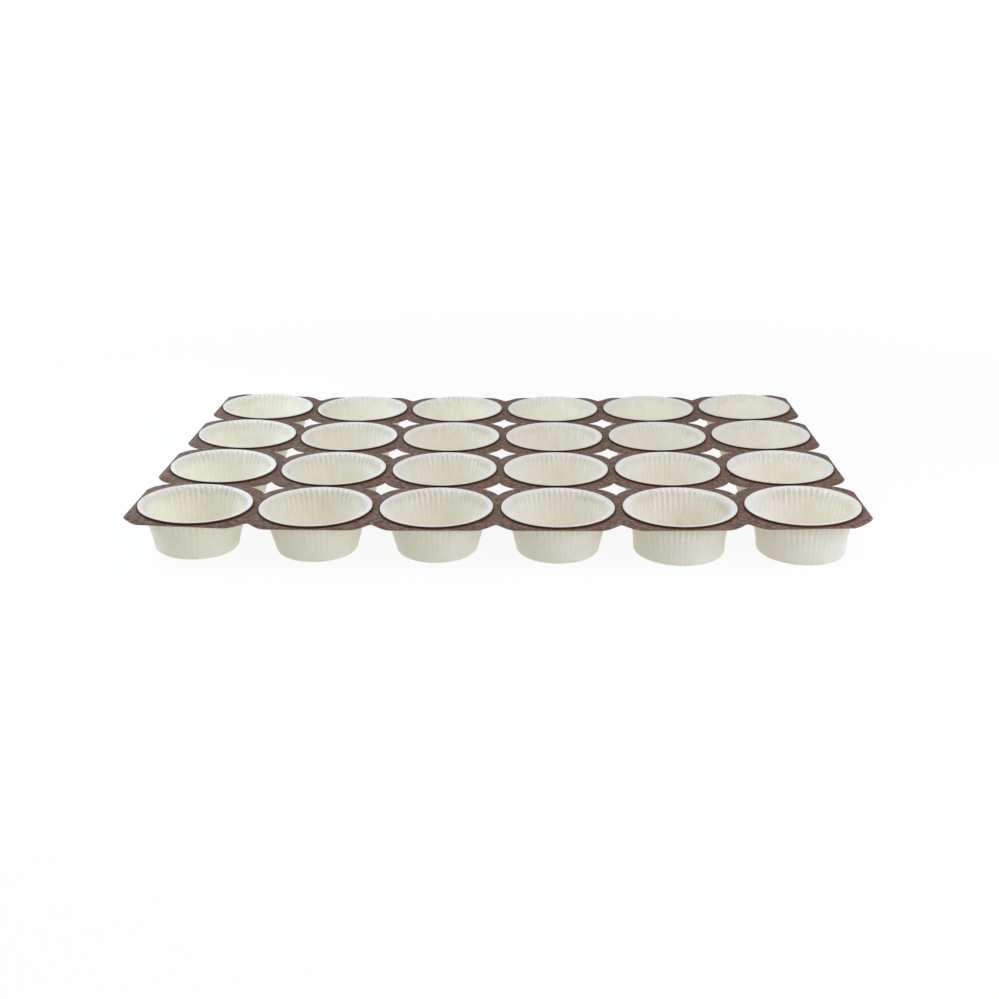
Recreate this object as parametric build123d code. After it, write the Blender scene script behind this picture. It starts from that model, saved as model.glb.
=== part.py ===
from build123d import *
from math import cos, radians, sin
import os

# Baking tray of pleated paper muffin cups, held by their rolled rims in a die-cut card board.
# Millimetres, +Z up. The origin is under the middle of the tray, on the surface that it stands on.

# Driving dimensions
rows = 4
columns = 6

# The cup, measured over the outside of its folds
cup_mouth = 83.0
cup_base = 58.0
cup_height = 36.0
# Each modelled fold stands for three or four of the paper's own
pleat_count = 16
pleat_depth = 2.6
paper_wall = 0.7
# The soft corner between base and wall, drawn as one slanting facet to each fold
corner_run = 3.5
corner_rise = 3.0

# The rolled rim, which stands on the board round the hole
rim_height = 2.2
rim_seat = 2.0
rim_slope = 20.0
rim_gap = 6.4

# The board, a disc of card round each hole, so that four discs leave a four-pointed star
board_thickness = 0.6
hole_clearance = 0.8
star_land = 15.3
star_tip_trim = 2.5
# The discs are cut off straight at the edges, and the ears along the two long edges are rounded
long_edge_trim = 1.2
ear_radius = 12.0
# The card is creased along the outermost whole stars, where its end columns turn up, in degrees
left_bow = 3.4
right_bow = 2.2

# Worked out from the above
mouth_radius = cup_mouth / 2
base_radius = cup_base / 2
hole_radius = mouth_radius + hole_clearance
rim_radius = hole_radius + rim_seat
cup_pitch = 2 * rim_radius + rim_gap
board_length = columns * cup_pitch
board_width = rows * cup_pitch - 2 * long_edge_trim
board_top = cup_height - rim_height
board_under = board_top - board_thickness
crease_line = board_length / 2 - cup_pitch
wall_flare = (mouth_radius - base_radius - corner_run) / (board_top - corner_rise)
disc_radius = hole_radius + star_land
web_length = 2 * (disc_radius**2 - (cup_pitch / 2) ** 2) ** 0.5 + 2 * star_tip_trim
web_width = rim_gap


def polygon_corners(radius, height, turn):
    """Corners of a level regular polygon, one for each fold, turned by a share of a fold."""
    fold_angle = 360 / pleat_count
    angles = [radians(fold_angle * (fold + turn)) for fold in range(pleat_count)]
    return [Vector(radius * cos(angle), radius * sin(angle), height) for angle in angles]


def flat_facet(*corners):
    """One flat facet of folded paper between its corners."""
    return Face(Wire.make_polygon(corners))


def pleated_form(wall_inset, bottom, top):
    """The folded paper's outside, or its inside where there is a wall inset, between two heights.

    The folds start above the soft corner of the base, where they are flat, and open out to
    their full depth at the mouth.
    """
    shoulder = bottom + corner_rise
    foot_radius = base_radius - wall_inset
    shoulder_radius = foot_radius + corner_run
    top_radius = shoulder_radius + wall_flare * (top - shoulder)
    foot = polygon_corners(foot_radius, bottom, 0)
    corner = polygon_corners(shoulder_radius, shoulder, 0)
    ridges = polygon_corners(top_radius, top, 0)
    valleys = polygon_corners(top_radius - pleat_depth, top, 0.5)
    mouth = [point for pair in zip(ridges, valleys) for point in pair]
    facets = [flat_facet(*foot), flat_facet(*mouth)]
    for fold in range(pleat_count):
        after = (fold + 1) % pleat_count
        facets.append(flat_facet(foot[fold], foot[after], corner[after], corner[fold]))
        facets.append(flat_facet(corner[fold], ridges[fold], valleys[fold]))
        facets.append(flat_facet(corner[fold], valleys[fold], corner[after]))
        facets.append(flat_facet(corner[after], valleys[fold], ridges[after]))
    return Solid(Shell(facets))


def pleated_cup():
    """One cup at the middle of the tray: folded wall, flat base and the rim that carries it."""
    rim_plane = Plane.XY.offset(board_top)
    rim_outline = rim_plane * RegularPolygon(rim_radius, pleat_count)
    rim = extrude(rim_outline, rim_height, taper=rim_slope)
    outside = pleated_form(0, 0, board_top)
    inside = pleated_form(paper_wall, paper_wall, cup_height)
    return outside + rim - inside


def panel_turn(place):
    """How the bow of the card moves what stands at a place of the flat layout."""
    x = place.position.X
    if abs(x) <= crease_line:
        return Location()
    side = 1 if x > 0 else -1
    bow = right_bow if x > 0 else left_bow
    crease = Pos(side * crease_line, 0, board_under)
    return crease * Rot(0, -side * bow, 0) * crease.inverse()


def bowed_card():
    """The card before it is cut: a flat middle panel and two end panels that turn up."""
    on_under_side = (Align.CENTER, Align.CENTER, Align.MIN)
    middle_length = 2 * crease_line
    card = Pos(0, 0, board_under) * Box(middle_length, board_width, board_thickness, align=on_under_side)
    for side in (-1, 1):
        end_middle = Pos(side * (crease_line + cup_pitch / 2), 0, board_under)
        end_panel = Box(cup_pitch, board_width, board_thickness, align=on_under_side)
        card += panel_turn(end_middle) * end_middle * end_panel
    return card


def is_ear(corner):
    """Whether a corner of the outline lies on a long edge, between the card's end columns."""
    return abs(corner.Y) > board_width / 2 - board_thickness and abs(corner.X) < crease_line + cup_pitch / 2


def board_outline(cup_places):
    """The card laid flat: discs round the cups, webs that blunt the stars between them, rounded ears."""
    discs = [place * Circle(disc_radius) for place in cup_places]
    webs_along = GridLocations(cup_pitch, cup_pitch, columns, rows - 1) * Rectangle(web_length, web_width)
    webs_across = GridLocations(cup_pitch, cup_pitch, columns - 1, rows) * Rectangle(web_width, web_length)
    card = Sketch() + discs + webs_along + webs_across
    outline = card & Rectangle(board_length, board_width)
    return fillet(outline.vertices().filter_by(is_ear), ear_radius)


def tray_board(cup_places):
    """The bowed card, cut through to its outline and with a hole for each cup.

    A hole's edge is hidden under the rim, so it has one flat to each side of the rim.
    """
    hole_outline = RegularPolygon(hole_radius, pleat_count, major_radius=False)
    cup_hole = extrude(hole_outline, 2 * cup_height)
    holes = [panel_turn(place) * place * cup_hole for place in cup_places]
    return (bowed_card() & extrude(board_outline(cup_places), 2 * cup_height)) - holes


cup_places = GridLocations(cup_pitch, cup_pitch, columns, rows)
pieces = {"tray_board": tray_board(cup_places)}
cup = pleated_cup()
for place in cup_places:
    column = round(place.position.X / cup_pitch + (columns + 1) / 2)
    row = round((rows + 1) / 2 - place.position.Y / cup_pitch)
    pieces[f"cup_row{row}_col{column}"] = panel_turn(place) * place * cup

os.makedirs("parts", exist_ok=True)
for name, piece in pieces.items():
    export_step(piece, f"parts/{name}.step")
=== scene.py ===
import random
from math import asin, atan2, copysign, cos, hypot, pi, radians, sin, sqrt

import bmesh
import bpy
from mathutils import Matrix, Vector


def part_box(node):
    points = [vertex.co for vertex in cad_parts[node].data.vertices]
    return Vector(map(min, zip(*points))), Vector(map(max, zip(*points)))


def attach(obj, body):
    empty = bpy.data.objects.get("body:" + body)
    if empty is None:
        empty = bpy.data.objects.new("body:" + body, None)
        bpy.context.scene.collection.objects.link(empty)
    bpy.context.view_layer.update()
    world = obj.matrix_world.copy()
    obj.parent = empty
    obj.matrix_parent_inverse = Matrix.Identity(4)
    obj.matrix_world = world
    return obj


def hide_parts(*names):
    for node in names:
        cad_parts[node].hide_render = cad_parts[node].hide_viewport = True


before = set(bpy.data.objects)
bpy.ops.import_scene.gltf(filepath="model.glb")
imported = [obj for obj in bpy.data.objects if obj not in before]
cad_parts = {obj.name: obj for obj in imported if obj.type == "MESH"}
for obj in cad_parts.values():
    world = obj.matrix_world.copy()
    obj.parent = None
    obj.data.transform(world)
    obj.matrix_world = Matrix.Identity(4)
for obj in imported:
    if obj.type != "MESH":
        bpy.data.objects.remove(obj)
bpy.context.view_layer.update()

# The tray board: one sheet of dull brown card, die-cut with a hole for each cup and a sharp four-pointed
# star where four cups meet. Each hole's edge is pressed up into a low collar under the rim of its cup,
# and the card has given along its lines of stars, so that both ends bow up a little.

mm = 0.001
rows = 4
columns = 6
# How far the card turns up at the first and at the second line of stars from its middle
left_bows = (radians(0.5), radians(1.9))
right_bows = (radians(0.5), radians(0.8))
card_thickness = 0.6 * mm
rim_seat = 2.0 * mm
collar_height = 1.3 * mm
collar_steps = 4
# A ring of card this wide past the rim is painted darker, as painted shade under the rim
painted_shade_width = 1.2 * mm
# From the middle of a star to its points, and to the middles of its hollow sides
star_tip = 16.0 * mm
star_waist = 8.8 * mm
# The width of card left beyond the holes at the outline, less at the front right corner than at the others
edge_land = 15.3 * mm
worn_corner_land = 12.7 * mm
notch_trim = 1.2 * mm
long_edge_trim = 1.2 * mm
ear_radius = 12.0 * mm
cell_spokes = 180
# A spoke that runs along an edge never meets it, so its share across the edge is held at this least value
least_share = 0.1
# Points of the card closer than this are one, and one on a crease is tried this far inside it
same_place = 0.02 * mm
crease_inset = 0.1 * mm

cup_low, cup_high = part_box("cup_row2_col3")
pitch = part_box("cup_row2_col4")[0].x - cup_low.x
rim_radius = (cup_high.x - cup_low.x) / 2
cup_height = cup_high.z
board_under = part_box("tray_board")[0].z
board_top = board_under + card_thickness
hole_radius = rim_radius - rim_seat
half_chord = star_tip / sqrt(2)
star_side_bulge = half_chord - star_waist
star_side_radius = (half_chord ** 2 + star_side_bulge ** 2) / (2 * star_side_bulge)
star_side_middle = pitch / sqrt(2) - star_waist - star_side_radius
star_tip_angle = atan2(pitch / 2 - star_tip, pitch / 2)
disc_radius = hole_radius + edge_land
notch_depth = sqrt(disc_radius ** 2 - (pitch / 2) ** 2) + notch_trim
corner_angles = (star_tip_angle, atan2(notch_depth, pitch / 2), asin(notch_depth / disc_radius))
crease_lines = (pitch, 2 * pitch)
collar_top_radius = hole_radius + card_thickness
collar_foot = collar_top_radius + collar_height


def cup_place(row, column):
    """The middle of a cup in the flat layout, row 1 at the back and column 1 at the left."""
    return (column - (columns + 1) / 2) * pitch, ((rows + 1) / 2 - row) * pitch


def panel_turn(x):
    """How the bow of the card moves what stands at x in the flat layout."""
    side = 1 if x > 0 else -1
    turn = Matrix.Identity(4)
    for crease_line, bow in zip(crease_lines, right_bows if x > 0 else left_bows):
        if abs(x) > crease_line:
            crease = Matrix.Translation((side * crease_line, 0, board_under))
            turn = turn @ crease @ Matrix.Rotation(-side * bow, 4, "Y") @ crease.inverted()
    return turn


def spoke_angle(angle):
    """A spoke's angle, turned on to a corner of the outline where one is next to it."""
    side_angle = round(angle / (pi / 2)) * pi / 2
    from_side = angle - side_angle
    for corner_angle in corner_angles:
        if abs(abs(from_side) - corner_angle) < pi / cell_spokes:
            return side_angle + copysign(corner_angle, from_side)
    return angle


def star_side_reach(along_x, along_y):
    """From the middle of a cup to the hollow side of the star beyond it."""
    along = star_side_middle * (along_x + along_y) / sqrt(2)
    beside = star_side_middle * (along_x - along_y) / sqrt(2)
    return along + sqrt(star_side_radius ** 2 - beside ** 2)


def long_edge_reach(along_x, along_y, edge_y):
    """From the middle of a cup to the notch in a long edge, or to the rounded ear beside it."""
    ear_y = edge_y - ear_radius
    ear_x = sqrt((disc_radius - ear_radius) ** 2 - ear_y ** 2)
    if ear_x * along_y < edge_y * along_x and ear_y * along_x < ear_x * along_y:
        beside_ear = along_x * ear_y - along_y * ear_x
        return along_x * ear_x + along_y * ear_y + sqrt(ear_radius ** 2 - beside_ear ** 2)
    return max(disc_radius, notch_depth / max(along_y, least_share))


def card_reach(row, column, angle):
    """How far the card runs from the middle of a cup: to the next cup, a star or a straight edge."""
    along_x, along_y = abs(cos(angle)), abs(sin(angle))
    to_end = column == columns and cos(angle) > 0 or column == 1 and cos(angle) < 0
    to_long_edge = row == 1 and sin(angle) > 0 or row == rows and sin(angle) < 0
    edge_y = pitch / 2 - long_edge_trim if to_long_edge else pitch / 2
    reach = min(pitch / 2 / max(along_x, least_share), edge_y / max(along_y, least_share))
    if to_long_edge and to_end:
        worn = row == rows and column == columns
        return min(reach, hole_radius + (worn_corner_land if worn else edge_land))
    if to_long_edge:
        return min(reach, long_edge_reach(along_x, along_y, edge_y))
    if min(along_x, along_y) > sin(star_tip_angle):
        return min(reach, star_side_reach(along_x, along_y))
    return reach


def ring_outwards(bm, edges, reach_at, height):
    """Carries an open ring of edges out to a reach that depends on the angle, and gives the new edges."""
    grown = bmesh.ops.extrude_edge_only(bm, edges=edges)["geom"]
    for vert in [part for part in grown if isinstance(part, bmesh.types.BMVert)]:
        angle = atan2(vert.co.y, vert.co.x)
        reach = reach_at(angle)
        vert.co = (reach * cos(angle), reach * sin(angle), height)
    return [edge for edge in grown if isinstance(edge, bmesh.types.BMEdge)]


def board_cell(row, column):
    """The card round one cup: the pressed-up collar and a ring of painted shade round it, then flat out to
    the outline.
    """
    bm = bmesh.new()
    bmesh.ops.create_circle(bm, segments=cell_spokes, radius=collar_top_radius)
    for vert in bm.verts:
        angle = spoke_angle(atan2(vert.co.y, vert.co.x))
        vert.co = (collar_top_radius * cos(angle), collar_top_radius * sin(angle), collar_height)
    edges = list(bm.edges)
    for step in range(1, collar_steps + 1):
        turn = pi / 2 * step / collar_steps
        radius = collar_foot - collar_height * cos(turn)
        edges = ring_outwards(bm, edges, lambda angle: radius, collar_height * (1 - sin(turn)))
    painted_shade_edge = rim_radius + painted_shade_width
    edges = ring_outwards(bm, edges, lambda angle: painted_shade_edge, 0)
    ring_outwards(bm, edges, lambda angle: card_reach(row, column, angle), 0)
    # The collar and a ring of card just past the rim take the darker card, as painted shade under the rim
    for face in bm.faces:
        in_painted_shade = face.calc_center_median().xy.length < painted_shade_edge
        face.material_index = 1 if in_painted_shade else 0
    x, y = cup_place(row, column)
    bmesh.ops.translate(bm, verts=bm.verts, vec=(x, y, board_top))
    cell = bpy.data.meshes.new("board_cell")
    bm.to_mesh(cell)
    bm.free()
    return cell


def linear(hex_colour):
    """An sRGB hex colour as linear RGBA."""
    shares = [int(hex_colour[place:place + 2], 16) / 255 for place in (1, 3, 5)]
    return [s / 12.92 if s <= 0.04045 else ((s + 0.055) / 1.055) ** 2.4 for s in shares] + [1]


def add_node(material, kind, inputs, **settings):
    """Adds one node, sets its properties, and fills or links its inputs."""
    node = material.node_tree.nodes.new(kind)
    for name, value in settings.items():
        setattr(node, name, value)
    for socket, value in inputs.items():
        if isinstance(value, bpy.types.NodeSocket):
            material.node_tree.links.new(value, node.inputs[socket])
        else:
            node.inputs[socket].default_value = value
    return node


def new_material(name):
    """A new node material, and its shader."""
    material = bpy.data.materials.new(name)
    material.use_nodes = True
    return material, material.node_tree.nodes["Principled BSDF"]


def brown_card(name, dark, middle, pale, roughness):
    """Recycled brown card, rolled and uncoated: a dull face clouded by fibre clumps, with fine grain."""
    clump_size = 3.0 * mm
    # Real fibres are finer, and are drawn this coarse so that they show
    grain_size = 0.9 * mm
    grain_height = 0.1 * mm
    material, shader = new_material(name)
    place = add_node(material, "ShaderNodeTexCoord", {}).outputs["Object"]
    clumps = add_node(material, "ShaderNodeTexNoise", {
        "Vector": place, "Scale": 1 / clump_size, "Detail": 4.0, "Roughness": 0.65})
    tint = add_node(material, "ShaderNodeValToRGB", {"Fac": clumps.outputs["Fac"]})
    tint.color_ramp.elements[0].position = 0.3
    tint.color_ramp.elements[0].color = linear(dark)
    tint.color_ramp.elements[1].position = 0.7
    tint.color_ramp.elements[1].color = linear(pale)
    tint.color_ramp.elements.new(0.5).color = linear(middle)
    grain = add_node(material, "ShaderNodeTexNoise", {
        "Vector": place, "Scale": 1 / grain_size, "Detail": 2.0})
    bump = add_node(material, "ShaderNodeBump", {
        "Height": grain.outputs["Fac"], "Strength": 0.25, "Distance": grain_height})
    material.node_tree.links.new(tint.outputs["Color"], shader.inputs["Base Color"])
    material.node_tree.links.new(bump.outputs["Normal"], shader.inputs["Normal"])
    shader.inputs["Roughness"].default_value = roughness
    shader.inputs["Specular IOR Level"].default_value = 0.15
    return material


# The face is mottled; the pressed collar and a ring of card round it are painted darker, as painted shade
# under each cup's rim, and are smoother; the cut edge is paler and rougher
card_face = brown_card("uncoated_brown_card", "#4C3A2F", "#705B4C", "#947C6B", 0.85)
card_painted_shade = brown_card("painted_shade_brown_card", "#442A10", "#533517", "#63431F", 0.7)
card_cut = brown_card("cut_edge_of_brown_card", "#8A6550", "#97725B", "#A58069", 0.9)

bm = bmesh.new()
for row in range(1, rows + 1):
    for column in range(1, columns + 1):
        cell = board_cell(row, column)
        bm.from_mesh(cell)
        bpy.data.meshes.remove(cell)
bmesh.ops.remove_doubles(bm, verts=bm.verts, dist=same_place)
bmesh.ops.recalc_face_normals(bm, faces=bm.faces)
if sum(face.normal.z for face in bm.faces) < 0:
    bmesh.ops.reverse_faces(bm, faces=bm.faces)
for vert in bm.verts:
    # What lies on a crease turns with the panel on its inner side
    on_crease = min(abs(abs(vert.co.x) - crease_line) for crease_line in crease_lines) < same_place
    inward = crease_inset if on_crease else 0
    vert.co = panel_turn(vert.co.x - copysign(inward, vert.co.x)) @ vert.co
board_mesh = bpy.data.meshes.new("die_cut_board")
bm.to_mesh(board_mesh)
bm.free()
board_mesh.shade_smooth()
board = bpy.data.objects.new("die_cut_board", board_mesh)
bpy.context.scene.collection.objects.link(board)
for material in (card_face, card_painted_shade, card_cut):
    board_mesh.materials.append(material)
thickness = board.modifiers.new("card_thickness", "SOLIDIFY")
thickness.thickness = card_thickness
thickness.offset = -1
thickness.material_offset_rim = 2
thickness.use_even_offset = True
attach(board, "root")
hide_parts("tray_board")

# The cups: each one is pressed from a disc of off-white greaseproof paper, so its wall gathers into
# 54 narrow pleats that are deepest at the mouth and die out into the soft corner of the base. The
# top edge is turned out into a shelf and rolled, and hangs on the collar of its hole.

pleats = 54
samples_per_pleat = 4
pleat_depth = 3.3 * mm
pleat_depth_at_base = 0.2 * mm
pleat_start = 2.0 * mm
# The power by which the pleats die out down the wall, where a slack cup keeps them for longer
taut_fade = 7.0
slack_fade = 3.6
# Round a cup the pleats are deeper and shallower in broad and in narrow waves, and its wall sways a little
broad_waves = 3
broad_unevenness = 0.16
narrow_waves = 7
narrow_unevenness = 0.1
sway_range_mm = (0.1, 0.3)
paper_thickness = 0.22 * mm
# The base is flat out to here, and no pleat reaches the inner share of it
base_flat = 28.3 * mm
still_share = 0.6
corner_radius = 3.5 * mm
corner_turn = radians(73)
corner_steps = 5
wall_top_radius = 40.2 * mm
wall_top = board_top + 0.8 * mm
wall_steps = 9
gather_steps = 3
shelf_radius = rim_radius - 2.4 * mm
shelf_height = cup_height - 0.5 * mm
shelf_crown_run = 0.5 * mm
shelf_steps = 3
roll_radius = 0.38 * mm
roll_start = radians(125)
roll_end = radians(-110)
roll_steps = 8
roll_middle = Vector((rim_radius - roll_radius, cup_height - roll_radius))
# Some bases in the front row have spread, and two of those cups have sunk on to the floor
base_spread = {(4, 1): 1.2 * mm, (4, 4): 0.9 * mm, (4, 5): 4.8 * mm, (4, 6): 3.2 * mm}
spread_fall = 3
slack_cups = ((4, 5), (4, 6))
# Points closer than this are one, as at the seam of the spin
seam_gap = 0.005 * mm
# What tells an edge up the wall from a level one, and a fold's edge from the paper beside it
level_gap = 0.01 * mm
least_rise = 0.2 * mm
fold_share = 0.9


def cup_profile():
    """The inside of a cup from the middle of its base to the end of the roll, as radius and height."""
    points = [Vector((share * base_flat, paper_thickness)) for share in (0, 0.5, 1)]
    base_edge = points[-1]
    for step in range(1, corner_steps + 1):
        turn = corner_turn * step / corner_steps
        points.append(base_edge + corner_radius * Vector((sin(turn), 1 - cos(turn))))
    corner_end = points[-1]
    wall_end = Vector((wall_top_radius, wall_top))
    for step in range(1, wall_steps + 1):
        points.append(corner_end.lerp(wall_end, step / wall_steps))
    shelf_edge = Vector((shelf_radius, shelf_height))
    for step in range(1, gather_steps + 1):
        points.append(wall_end.lerp(shelf_edge, step / gather_steps))
    roll_first = roll_middle + roll_radius * Vector((cos(roll_start), sin(roll_start)))
    shelf_crown = Vector((shelf_radius + shelf_crown_run, roll_first.y))
    for step in range(1, shelf_steps + 1):
        share = step / shelf_steps
        to_crown = shelf_edge.lerp(shelf_crown, share)
        from_crown = shelf_crown.lerp(roll_first, share)
        points.append(to_crown.lerp(from_crown, share))
    for step in range(1, roll_steps + 1):
        angle = roll_start + (roll_end - roll_start) * step / roll_steps
        points.append(roll_middle + roll_radius * Vector((cos(angle), sin(angle))))
    return points


def pleat_depth_at(height, fade):
    """Depth of the pleats from ridge to valley at a height up the cup."""
    if height > wall_top:
        return pleat_depth * max(0, (shelf_height - height) / (shelf_height - wall_top))
    share = max(0, (height - pleat_start) / (wall_top - pleat_start))
    at_base = pleat_depth_at_base * min(1, height / pleat_start)
    return at_base + (pleat_depth - pleat_depth_at_base) * share ** fade


def pleat_wave(angle):
    """A fold's place between its outer ridge, 1, and its inner valley, -1."""
    share = (angle * pleats / (2 * pi)) % 1
    return 1 - 4 * min(share, 1 - share)


def spun_cup():
    """A cup before it is pleated, with its rim marked off and the edges that the folds sharpen."""
    bm = bmesh.new()
    section = [bm.verts.new((point.x, 0, point.y)) for point in cup_profile()]
    edges = [bm.edges.new(pair) for pair in zip(section, section[1:])]
    bmesh.ops.spin(bm, geom=section + edges, axis=(0, 0, 1), cent=(0, 0, 0), angle=2 * pi,
                   steps=pleats * samples_per_pleat, use_merge=True)
    bmesh.ops.remove_doubles(bm, verts=bm.verts, dist=seam_gap)
    bmesh.ops.recalc_face_normals(bm, faces=bm.faces)
    if min(bm.faces, key=lambda face: face.calc_center_median().length).normal.z < 0:
        bmesh.ops.reverse_faces(bm, faces=bm.faces)
    for face in bm.faces:
        face.smooth = True
        middle = face.calc_center_median()
        if middle.xy.length > shelf_radius and middle.z > wall_top:
            face.material_index = 1
    for edge in bm.edges:
        first, last = edge.verts
        low, high = sorted((first.co.z, last.co.z))
        up_the_wall = high - low > least_rise and high < shelf_height + level_gap
        on_fold = abs(pleat_wave(atan2(first.co.y, first.co.x))) > fold_share
        on_shelf_edge = low > shelf_height - level_gap and high < shelf_height + level_gap
        edge.smooth = not (up_the_wall and on_fold or on_shelf_edge)
    return bm


def pleated_cup(row, column):
    """One cup in its hole, with crisp folds that are turned and uneven in their own way."""
    chance = random.Random(100 * row + column)
    sway_turn = chance.uniform(0, 2 * pi)
    sway = chance.uniform(*sway_range_mm) * mm
    uneven_turn = chance.uniform(0, 2 * pi)
    own_turn = Matrix.Rotation(chance.uniform(0, 2 * pi), 4, "Z")
    spread = base_spread.get((row, column), 0)
    slack = (row, column) in slack_cups
    fade = slack_fade if slack else taut_fade
    bm = spun_cup()
    for vert in bm.verts:
        radius = hypot(vert.co.x, vert.co.y)
        under_roll = radius > roll_middle.x - roll_radius and wall_top < vert.co.z < roll_middle.y
        if radius < base_flat * still_share or under_roll:
            continue
        angle = atan2(vert.co.y, vert.co.x)
        uneven = 1 + broad_unevenness * sin(broad_waves * angle + uneven_turn)
        uneven += narrow_unevenness * sin(narrow_waves * angle - 2 * uneven_turn)
        moved = radius + pleat_wave(angle) * pleat_depth_at(vert.co.z, fade) / 2 * uneven
        moved += sway * sin(2 * angle + sway_turn) * sin(pi * min(1, vert.co.z / wall_top))
        moved += spread * max(0, 1 - vert.co.z / wall_top) ** spread_fall
        vert.co.x *= moved / radius
        vert.co.y *= moved / radius
    x, y = cup_place(row, column)
    turn = panel_turn(x)
    bmesh.ops.transform(bm, matrix=turn @ Matrix.Translation((x, y, 0)) @ own_turn, verts=bm.verts)
    if slack:
        for vert in bm.verts:
            lift = (turn @ Vector((vert.co.x, 0, board_under))).z - board_under
            vert.co.z -= lift * max(0, 1 - vert.co.z / wall_top)
    mesh = bpy.data.meshes.new(f"pleated_cup_row{row}_col{column}")
    bm.to_mesh(mesh)
    bm.free()
    cup = bpy.data.objects.new(mesh.name, mesh)
    bpy.context.scene.collection.objects.link(cup)
    wall = cup.modifiers.new("paper_thickness", "SOLIDIFY")
    wall.thickness = paper_thickness
    wall.offset = -1
    return cup


def greaseproof_paper(name, dark, pale, translucence):
    """Bleached greaseproof paper, calendered: faintly cloudy, thin to light, with a soft low sheen."""
    cloud_size = 9.0 * mm
    # Real fibres are finer, and are drawn this coarse so that they show
    fibre_size = 0.8 * mm
    fibre_height = 0.05 * mm
    light_reach = 0.8 * mm
    material, shader = new_material(name)
    place = add_node(material, "ShaderNodeTexCoord", {}).outputs["Object"]
    clouds = add_node(material, "ShaderNodeTexNoise", {
        "Vector": place, "Scale": 1 / cloud_size, "Detail": 3.0, "Roughness": 0.6})
    tint = add_node(material, "ShaderNodeValToRGB", {"Fac": clouds.outputs["Fac"]})
    tint.color_ramp.elements[0].position = 0.3
    tint.color_ramp.elements[0].color = linear(dark)
    tint.color_ramp.elements[1].position = 0.7
    tint.color_ramp.elements[1].color = linear(pale)
    fibres = add_node(material, "ShaderNodeTexNoise", {
        "Vector": place, "Scale": 1 / fibre_size, "Detail": 2.0})
    bump = add_node(material, "ShaderNodeBump", {
        "Height": fibres.outputs["Fac"], "Strength": 0.12, "Distance": fibre_height})
    material.node_tree.links.new(tint.outputs["Color"], shader.inputs["Base Color"])
    material.node_tree.links.new(bump.outputs["Normal"], shader.inputs["Normal"])
    shader.inputs["Roughness"].default_value = 0.55
    shader.inputs["Specular IOR Level"].default_value = 0.35
    shader.inputs["Subsurface Weight"].default_value = translucence
    shader.inputs["Subsurface Radius"].default_value = (1.0, 0.9, 0.75)
    shader.inputs["Subsurface Scale"].default_value = light_reach
    return material


# The wall is one layer and lets light through, and the rolled rim is several layers and doesn't
wall_paper = greaseproof_paper("off_white_greaseproof_paper", "#EBE3CB", "#F1EAD4", 1.0)
rim_paper = greaseproof_paper("white_rolled_paper", "#DFDBCD", "#E6E2D5", 0.0)
for row in range(1, rows + 1):
    for column in range(1, columns + 1):
        cup = pleated_cup(row, column)
        cup.data.materials.append(wall_paper)
        cup.data.materials.append(rim_paper)
        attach(cup, "root")
        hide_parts(f"cup_row{row}_col{column}")

# The floor: a plain white studio floor that runs out of view, and takes the tray's soft shadow. It
# neither throws light back on to the tray nor keeps off the light from below.

floor_reach = 6.0
floor_drop = 0.1 * mm
floor_colour = "#F2F2F0"
glow_near = 0.92
near_reach = 0.35
far_reach = 1.3

bm = bmesh.new()
bmesh.ops.create_grid(bm, x_segments=1, y_segments=1, size=floor_reach)
bmesh.ops.translate(bm, verts=bm.verts, vec=(0, 0, -floor_drop))
floor_mesh = bpy.data.meshes.new("studio_floor")
bm.to_mesh(floor_mesh)
bm.free()
floor = bpy.data.objects.new("studio_floor", floor_mesh)
bpy.context.scene.collection.objects.link(floor)
floor.visible_diffuse = False
floor.visible_shadow = False


def seen_rays(material):
    """A socket that is 1 for the rays that show the background: straight, off gloss or through glass."""
    rays = add_node(material, "ShaderNodeLightPath", {})
    seen = add_node(material, "ShaderNodeMath", {
        0: rays.outputs["Is Camera Ray"], 1: rays.outputs["Is Glossy Ray"]}, operation="MAXIMUM")
    seen = add_node(material, "ShaderNodeMath", {
        0: seen.outputs[0], 1: rays.outputs["Is Transmission Ray"]}, operation="MAXIMUM")
    return seen.outputs[0]


floor_paint, floor_shader = new_material("white_studio_floor")
floor_shader.inputs["Base Color"].default_value = linear(floor_colour)
floor_shader.inputs["Roughness"].default_value = 0.9
place = add_node(floor_paint, "ShaderNodeTexCoord", {}).outputs["Object"]
from_middle = add_node(floor_paint, "ShaderNodeVectorMath", {0: place}, operation="LENGTH")
glow_share = add_node(floor_paint, "ShaderNodeMapRange", {
    "Value": from_middle.outputs["Value"], "From Min": near_reach, "From Max": far_reach,
    "To Min": glow_near, "To Max": 1.0})
share = add_node(floor_paint, "ShaderNodeMath", {
    0: seen_rays(floor_paint), 1: glow_share.outputs[0]}, operation="MULTIPLY")
glow = add_node(floor_paint, "ShaderNodeEmission", {"Color": (1, 1, 1, 1), "Strength": 1.0})
mixed = add_node(floor_paint, "ShaderNodeMixShader", {
    0: share.outputs[0], 1: floor_shader.outputs[0], 2: glow.outputs[0]})
floor_output = floor_paint.node_tree.nodes["Material Output"]
floor_paint.node_tree.links.new(mixed.outputs[0], floor_output.inputs["Surface"])
floor_mesh.materials.append(floor_paint)

# The light: a pale surround that is brighter and cooler low down at the sides and behind, as white walls
# are, and a little brighter from below, as off a white table, with three large soft lamps: one over the
# tray, one at its left and one at its front right.

surround_colour = "#EAEBF4"
surround_strength = 0.435
wall_colour = "#CFE3FF"
wall_strength = 1.0
wall_top_height = 0.6
# The walls fade towards the viewer: the direction's Y at which they are least, and what is left there
front_edge = -0.8
front_wall_share = 0.2
table_colour = "#F6F5F0"
table_strength = 0.13
table_edge_height = -0.25

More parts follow.
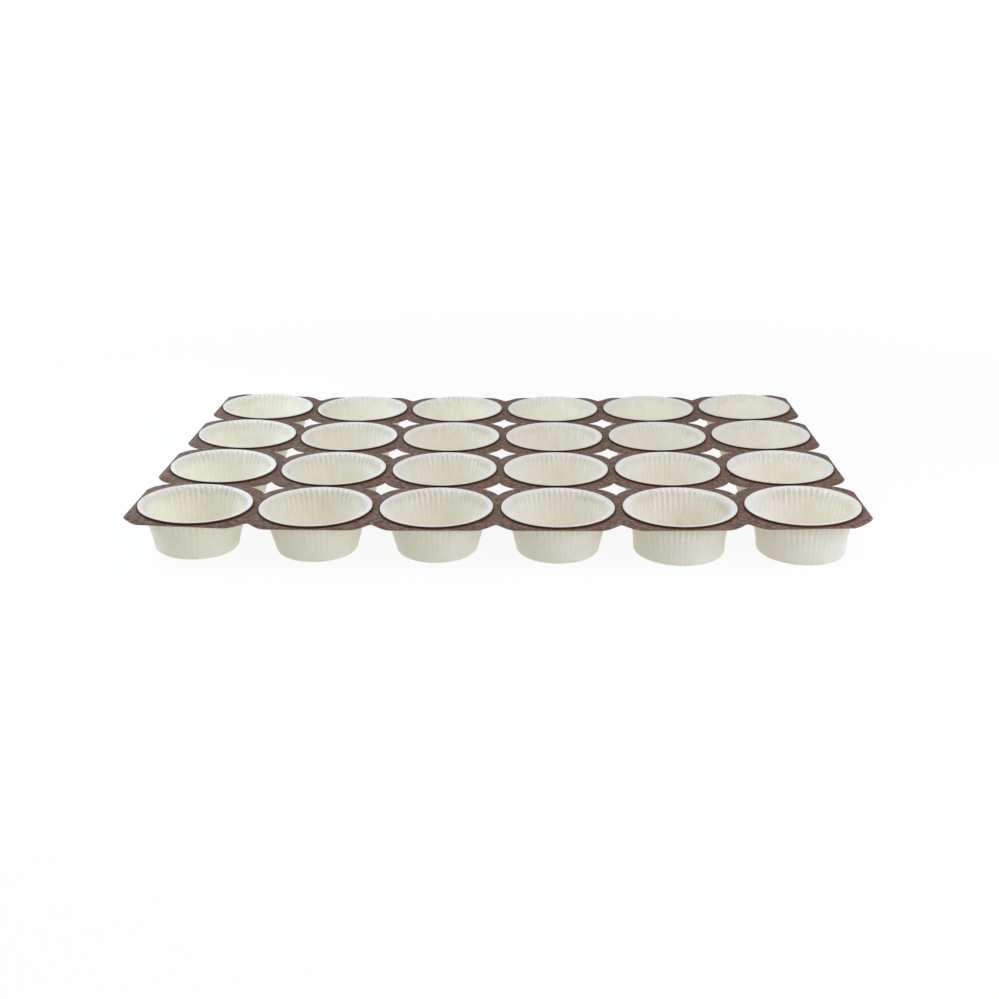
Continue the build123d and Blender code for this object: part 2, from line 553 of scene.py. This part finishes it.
surround = bpy.data.worlds.new("pale_surround")
bpy.context.scene.world = surround
surround.use_nodes = True
sky = surround.node_tree.nodes["Background"]
sky.inputs["Color"].default_value = linear(surround_colour)
sky.inputs["Strength"].default_value = surround_strength
towards = add_node(surround, "ShaderNodeTexCoord", {}).outputs["Generated"]
direction = add_node(surround, "ShaderNodeSeparateXYZ", {"Vector": towards})
height = add_node(surround, "ShaderNodeMath", {0: direction.outputs["Z"]}, operation="ABSOLUTE")
low_down = add_node(surround, "ShaderNodeMapRange", {
    "Value": height.outputs[0], "From Min": 0.0, "From Max": wall_top_height, "To Min": 1.0, "To Max": 0.0})
not_in_front = add_node(surround, "ShaderNodeMapRange", {
    "Value": direction.outputs["Y"], "From Min": front_edge, "From Max": 0.0,
    "To Min": front_wall_share, "To Max": 1.0})
wall_share = add_node(surround, "ShaderNodeMath", {
    0: low_down.outputs[0], 1: not_in_front.outputs[0]}, operation="MULTIPLY")
wall_glow = add_node(surround, "ShaderNodeMath", {
    0: wall_share.outputs[0], 1: wall_strength}, operation="MULTIPLY")
walls = add_node(surround, "ShaderNodeBackground", {
    "Color": linear(wall_colour), "Strength": wall_glow.outputs[0]})
table_glow = add_node(surround, "ShaderNodeMapRange", {
    "Value": direction.outputs["Z"], "From Min": table_edge_height, "From Max": 0.0,
    "To Min": table_strength, "To Max": 0.0})
table = add_node(surround, "ShaderNodeBackground", {
    "Color": linear(table_colour), "Strength": table_glow.outputs[0]})
sides = add_node(surround, "ShaderNodeAddShader", {0: sky.outputs[0], 1: walls.outputs[0]})
lit = add_node(surround, "ShaderNodeAddShader", {0: sides.outputs[0], 1: table.outputs[0]})
white = add_node(surround, "ShaderNodeBackground", {"Color": (1, 1, 1, 1), "Strength": 1.0})
view = add_node(surround, "ShaderNodeMixShader", {
    0: seen_rays(surround), 1: lit.outputs[0], 2: white.outputs[0]})
surround.node_tree.links.new(view.outputs[0], surround.node_tree.nodes["World Output"].inputs["Surface"])


def soft_lamp(name, place, size, power, colour):
    """A square soft lamp aimed at the middle of the tray."""
    lamp = bpy.data.lights.new(name, "AREA")
    lamp.size = size
    lamp.energy = power
    lamp.color = linear(colour)[:3]
    holder = bpy.data.objects.new(name, lamp)
    holder.location = place
    holder.rotation_euler = (-Vector(place)).to_track_quat("-Z", "Y").to_euler()
    bpy.context.scene.collection.objects.link(holder)


soft_lamp("lamp_over", place=(0.0, -0.1, 0.8), size=0.5, power=1.0, colour="#FFE6BC")
soft_lamp("lamp_left", place=(-0.5, 0.0, 0.36), size=0.6, power=2.7, colour="#CFE3FF")
soft_lamp("lamp_right", place=(0.42, -0.40, 0.35), size=0.6, power=2.4, colour="#DFE2FF")

# The camera: where the photograph was taken from, a little above the tray and square to its long side.

image_width_px = 999
focal_px = 1242.71
sensor_width_mm = 36.0
camera_place = Vector((27.65 * mm, -1055.49 * mm, board_top + 336.76 * mm))
camera_yaw = radians(-1.617)
camera_pitch = radians(19.808)
camera_roll = radians(-0.471)

lens = bpy.data.cameras.new("camera")
lens.sensor_width = sensor_width_mm
lens.lens = sensor_width_mm * focal_px / image_width_px
camera = bpy.data.objects.new("camera", lens)
aim = Matrix.Rotation(-camera_yaw, 4, "Z") @ Matrix.Rotation(pi / 2 - camera_pitch, 4, "X")
camera.matrix_world = Matrix.Translation(camera_place) @ aim @ Matrix.Rotation(camera_roll, 4, "Z")
bpy.context.scene.collection.objects.link(camera)
bpy.context.scene.camera = camera
bpy.context.scene.view_settings.view_transform = "Standard"
